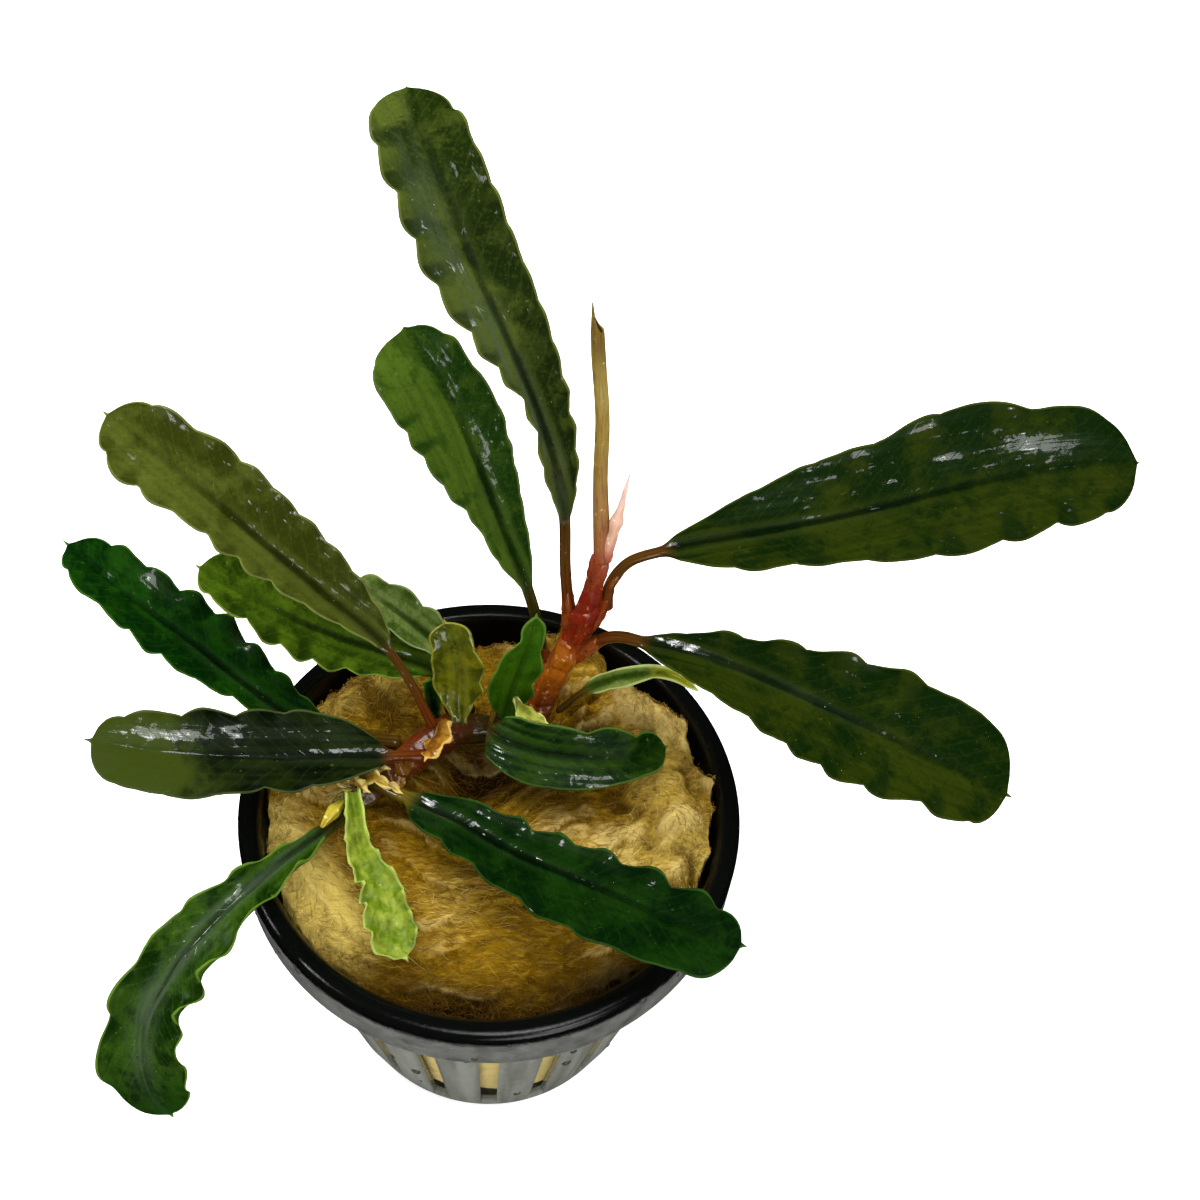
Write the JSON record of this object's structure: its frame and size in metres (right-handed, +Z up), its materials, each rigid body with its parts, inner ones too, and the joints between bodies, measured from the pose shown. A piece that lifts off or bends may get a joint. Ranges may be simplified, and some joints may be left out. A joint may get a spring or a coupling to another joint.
{
  "type": "potted aquarium plant",
  "caption": "Aquarium rhizome plant in a small slotted net pot filled with mineral wool: long ruffled glossy leaves on short stalks spread from creeping stems above the rim.",
  "frame": {"origin": "centre of the pot's flat underside, on the surface that the pot stands on", "axes": "+Z up along the pot's axis; +X to the plant's right and -Y towards the viewer in front"},
  "size_m": [0.112, 0.0661, 0.111],
  "materials": {
    "pot_plastic": "satin black",
    "wool": "damp matted mineral fibre, golden brown",
    "rhizome_red": "glossy red-brown bark with pale scars",
    "rhizome_brown": "glossy orange-brown bark with pale scars",
    "stalk_tan": "satin, tan to olive",
    "bud_pink": "satin pink",
    "sheath_amber": "glossy translucent amber",
    "sheath_yellow": "satin yellow",
    "leaf_dark": "wet glossy, dark green",
    "leaf_green": "wet glossy, mid green",
    "leaf_olive": "wet glossy, olive to brown",
    "leaf_light": "wet glossy, light green",
    "leaf_yellow_green": "glossy, bright yellow-green"
  },
  "bodies": {
    "root": {"net_pot": "pot_plastic", "rockwool": "wool", "rhizome_right": "rhizome_red", "rhizome_left": "rhizome_brown", "cut_petiole": "stalk_tan", "pink_bud": "bud_pink", "sheath_scrap": "sheath_amber", "yellow_sheath": "sheath_yellow", "leaf_tall_back": "leaf_olive", "leaf_upright_back": "leaf_dark", "leaf_upper_right": "leaf_green", "leaf_lower_right": "leaf_green", "leaf_small_right": "leaf_light", "leaf_small_centre": "leaf_light", "leaf_curled_centre": "leaf_dark", "leaf_upper_left": "leaf_olive", "leaf_far_left": "leaf_dark", "leaf_behind_left": "leaf_light", "leaf_hidden_left": "leaf_light", "leaf_small_left": "leaf_olive", "leaf_bud_left": "leaf_dark", "leaf_front_left": "leaf_dark", "leaf_drooping": "leaf_dark", "leaf_new": "leaf_yellow_green", "leaf_front_right": "leaf_dark"}
  },
  "joints": []
}
